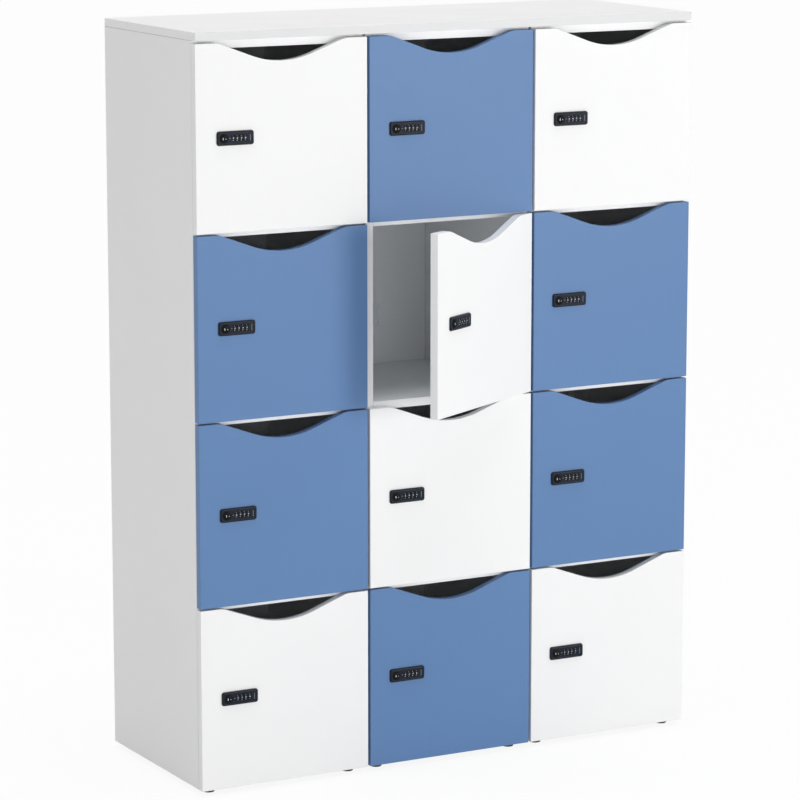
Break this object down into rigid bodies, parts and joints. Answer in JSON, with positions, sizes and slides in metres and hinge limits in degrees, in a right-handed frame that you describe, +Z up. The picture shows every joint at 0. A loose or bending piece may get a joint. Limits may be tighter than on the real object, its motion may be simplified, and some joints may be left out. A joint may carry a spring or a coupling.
{
  "type": "compartment locker",
  "caption": "Free-standing board locker in columns, each compartment closed by a hinged door with a curved finger notch and a combination cam lock.",
  "frame": {"origin": "on the floor, at the middle of the bounding box of the locker with its one open door", "axes": "+Z up, +X to the right as seen from the front, +Y towards the back; the doors face -Y"},
  "size_m": [1.2, 0.646, 1.6095],
  "materials": {
    "white_board": "matt white melamine",
    "blue_board": "matt blue melamine",
    "lock_black": "satin black moulded housing",
    "hinge_steel": "nickel-plated steel",
    "strike_plastic": "pale grey painted steel",
    "foot_plastic": "black moulded plastic"
  },
  "bodies": {
    "root": {"finishing_top": "white_board", "outer_side_left": "white_board", "outer_side_right": "white_board", "inner_side_panels": "white_board", "column_tops": "white_board", "column_bottoms": "white_board", "shelves": "white_board", "back_panels": "white_board", "feet": "foot_plastic", "column_spacers": "foot_plastic", "hinge_arms": "hinge_steel", "strike_plates": "strike_plastic"},
    "door_a1": {"door_a1": "white_board", "fittings_a1": "lock_black"},
    "knob_a1": {"knob_a1": "lock_black"},
    "wheels_a1": {"wheels_a1": "lock_black"},
    "door_a2": {"door_a2": "blue_board", "fittings_a2": "lock_black"},
    "knob_a2": {"knob_a2": "lock_black"},
    "wheels_a2": {"wheels_a2": "lock_black"},
    "door_a3": {"door_a3": "blue_board", "fittings_a3": "lock_black"},
    "knob_a3": {"knob_a3": "lock_black"},
    "wheels_a3": {"wheels_a3": "lock_black"},
    "door_a4": {"door_a4": "white_board", "fittings_a4": "lock_black"},
    "knob_a4": {"knob_a4": "lock_black"},
    "wheels_a4": {"wheels_a4": "lock_black"},
    "door_b1": {"door_b1": "blue_board", "fittings_b1": "lock_black"},
    "knob_b1": {"knob_b1": "lock_black"},
    "wheels_b1": {"wheels_b1": "lock_black"},
    "door_b2": {"door_b2": "white_board", "fittings_b2": "lock_black"},
    "knob_b2": {"knob_b2": "lock_black"},
    "wheels_b2": {"wheels_b2": "lock_black"},
    "door_b3": {"door_b3": "white_board", "fittings_b3": "lock_black"},
    "knob_b3": {"knob_b3": "lock_black"},
    "wheels_b3": {"wheels_b3": "lock_black"},
    "door_b4": {"door_b4": "blue_board", "fittings_b4": "lock_black"},
    "knob_b4": {"knob_b4": "lock_black"},
    "wheels_b4": {"wheels_b4": "lock_black"},
    "door_c1": {"door_c1": "white_board", "fittings_c1": "lock_black"},
    "knob_c1": {"knob_c1": "lock_black"},
    "wheels_c1": {"wheels_c1": "lock_black"},
    "door_c2": {"door_c2": "blue_board", "fittings_c2": "lock_black"},
    "knob_c2": {"knob_c2": "lock_black"},
    "wheels_c2": {"wheels_c2": "lock_black"},
    "door_c3": {"door_c3": "blue_board", "fittings_c3": "lock_black"},
    "knob_c3": {"knob_c3": "lock_black"},
    "wheels_c3": {"wheels_c3": "lock_black"},
    "door_c4": {"door_c4": "white_board", "fittings_c4": "lock_black"},
    "knob_c4": {"knob_c4": "lock_black"},
    "wheels_c4": {"wheels_c4": "lock_black"}
  },
  "joints": [
    {"name": "door_hinge_a1", "type": "hinge", "parent": "root", "child": "door_a1", "pos_m": [-0.207, -0.12395, 1.1955], "axis": [0, 0, 1], "range_deg": [0, 100]},
    {"name": "knob_turn_a1", "type": "hinge", "parent": "door_a1", "child": "knob_a1", "pos_m": [-0.5385, -0.13195, 1.39075], "axis": [0, 1, 0], "range_deg": [0, 90]},
    {"name": "wheels_spin_a1", "type": "hinge", "parent": "door_a1", "child": "wheels_a1", "pos_m": [-0.5115, -0.12355, 1.39075], "axis": [1, 0, 0], "continuous": true},
    {"name": "door_hinge_a2", "type": "hinge", "parent": "root", "child": "door_a2", "pos_m": [-0.207, -0.12395, 0.801], "axis": [0, 0, 1], "range_deg": [0, 100]},
    {"name": "knob_turn_a2", "type": "hinge", "parent": "door_a2", "child": "knob_a2", "pos_m": [-0.5385, -0.13195, 0.99625], "axis": [0, 1, 0], "range_deg": [0, 90]},
    {"name": "wheels_spin_a2", "type": "hinge", "parent": "door_a2", "child": "wheels_a2", "pos_m": [-0.5115, -0.12355, 0.99625], "axis": [1, 0, 0], "continuous": true},
    {"name": "door_hinge_a3", "type": "hinge", "parent": "root", "child": "door_a3", "pos_m": [-0.207, -0.12395, 0.4065], "axis": [0, 0, 1], "range_deg": [0, 100]},
    {"name": "knob_turn_a3", "type": "hinge", "parent": "door_a3", "child": "knob_a3", "pos_m": [-0.5385, -0.13195, 0.60175], "axis": [0, 1, 0], "range_deg": [0, 90]},
    {"name": "wheels_spin_a3", "type": "hinge", "parent": "door_a3", "child": "wheels_a3", "pos_m": [-0.5115, -0.12355, 0.60175], "axis": [1, 0, 0], "continuous": true},
    {"name": "door_hinge_a4", "type": "hinge", "parent": "root", "child": "door_a4", "pos_m": [-0.207, -0.12395, 0.012], "axis": [0, 0, 1], "range_deg": [0, 100]},
    {"name": "knob_turn_a4", "type": "hinge", "parent": "door_a4", "child": "knob_a4", "pos_m": [-0.5385, -0.13195, 0.20725], "axis": [0, 1, 0], "range_deg": [0, 90]},
    {"name": "wheels_spin_a4", "type": "hinge", "parent": "door_a4", "child": "wheels_a4", "pos_m": [-0.5115, -0.12355, 0.20725], "axis": [1, 0, 0], "continuous": true},
    {"name": "door_hinge_b1", "type": "hinge", "parent": "root", "child": "door_b1", "pos_m": [0.195, -0.12395, 1.1955], "axis": [0, 0, 1], "range_deg": [0, 100]},
    {"name": "knob_turn_b1", "type": "hinge", "parent": "door_b1", "child": "knob_b1", "pos_m": [-0.1365, -0.13195, 1.39075], "axis": [0, 1, 0], "range_deg": [0, 90]},
    {"name": "wheels_spin_b1", "type": "hinge", "parent": "door_b1", "child": "wheels_b1", "pos_m": [-0.1095, -0.12355, 1.39075], "axis": [1, 0, 0], "continuous": true},
    {"name": "door_hinge_b2", "type": "hinge", "parent": "root", "child": "door_b2", "pos_m": [0.195, -0.12395, 0.801], "axis": [0, 0, 1], "range_deg": [-30, 70]},
    {"name": "knob_turn_b2", "type": "hinge", "parent": "door_b2", "child": "knob_b2", "pos_m": [-0.08809, -0.29663, 0.99625], "axis": [-0.5, 0.866, 0], "range_deg": [0, 90]},
    {"name": "wheels_spin_b2", "type": "hinge", "parent": "door_b2", "child": "wheels_b2", "pos_m": [-0.0689, -0.27586, 0.99625], "axis": [0.866, 0.5, 0], "continuous": true},
    {"name": "door_hinge_b3", "type": "hinge", "parent": "root", "child": "door_b3", "pos_m": [0.195, -0.12395, 0.4065], "axis": [0, 0, 1], "range_deg": [0, 100]},
    {"name": "knob_turn_b3", "type": "hinge", "parent": "door_b3", "child": "knob_b3", "pos_m": [-0.1365, -0.13195, 0.60175], "axis": [0, 1, 0], "range_deg": [0, 90]},
    {"name": "wheels_spin_b3", "type": "hinge", "parent": "door_b3", "child": "wheels_b3", "pos_m": [-0.1095, -0.12355, 0.60175], "axis": [1, 0, 0], "continuous": true},
    {"name": "door_hinge_b4", "type": "hinge", "parent": "root", "child": "door_b4", "pos_m": [0.195, -0.12395, 0.012], "axis": [0, 0, 1], "range_deg": [0, 100]},
    {"name": "knob_turn_b4", "type": "hinge", "parent": "door_b4", "child": "knob_b4", "pos_m": [-0.1365, -0.13195, 0.20725], "axis": [0, 1, 0], "range_deg": [0, 90]},
    {"name": "wheels_spin_b4", "type": "hinge", "parent": "door_b4", "child": "wheels_b4", "pos_m": [-0.1095, -0.12355, 0.20725], "axis": [1, 0, 0], "continuous": true},
    {"name": "door_hinge_c1", "type": "hinge", "parent": "root", "child": "door_c1", "pos_m": [0.597, -0.12395, 1.1955], "axis": [0, 0, 1], "range_deg": [0, 100]},
    {"name": "knob_turn_c1", "type": "hinge", "parent": "door_c1", "child": "knob_c1", "pos_m": [0.2655, -0.13195, 1.39075], "axis": [0, 1, 0], "range_deg": [0, 90]},
    {"name": "wheels_spin_c1", "type": "hinge", "parent": "door_c1", "child": "wheels_c1", "pos_m": [0.2925, -0.12355, 1.39075], "axis": [1, 0, 0], "continuous": true},
    {"name": "door_hinge_c2", "type": "hinge", "parent": "root", "child": "door_c2", "pos_m": [0.597, -0.12395, 0.801], "axis": [0, 0, 1], "range_deg": [0, 100]},
    {"name": "knob_turn_c2", "type": "hinge", "parent": "door_c2", "child": "knob_c2", "pos_m": [0.2655, -0.13195, 0.99625], "axis": [0, 1, 0], "range_deg": [0, 90]},
    {"name": "wheels_spin_c2", "type": "hinge", "parent": "door_c2", "child": "wheels_c2", "pos_m": [0.2925, -0.12355, 0.99625], "axis": [1, 0, 0], "continuous": true},
    {"name": "door_hinge_c3", "type": "hinge", "parent": "root", "child": "door_c3", "pos_m": [0.597, -0.12395, 0.4065], "axis": [0, 0, 1], "range_deg": [0, 100]},
    {"name": "knob_turn_c3", "type": "hinge", "parent": "door_c3", "child": "knob_c3", "pos_m": [0.2655, -0.13195, 0.60175], "axis": [0, 1, 0], "range_deg": [0, 90]},
    {"name": "wheels_spin_c3", "type": "hinge", "parent": "door_c3", "child": "wheels_c3", "pos_m": [0.2925, -0.12355, 0.60175], "axis": [1, 0, 0], "continuous": true},
    {"name": "door_hinge_c4", "type": "hinge", "parent": "root", "child": "door_c4", "pos_m": [0.597, -0.12395, 0.012], "axis": [0, 0, 1], "range_deg": [0, 100]},
    {"name": "knob_turn_c4", "type": "hinge", "parent": "door_c4", "child": "knob_c4", "pos_m": [0.2655, -0.13195, 0.20725], "axis": [0, 1, 0], "range_deg": [0, 90]},
    {"name": "wheels_spin_c4", "type": "hinge", "parent": "door_c4", "child": "wheels_c4", "pos_m": [0.2925, -0.12355, 0.20725], "axis": [1, 0, 0], "continuous": true}
  ]
}
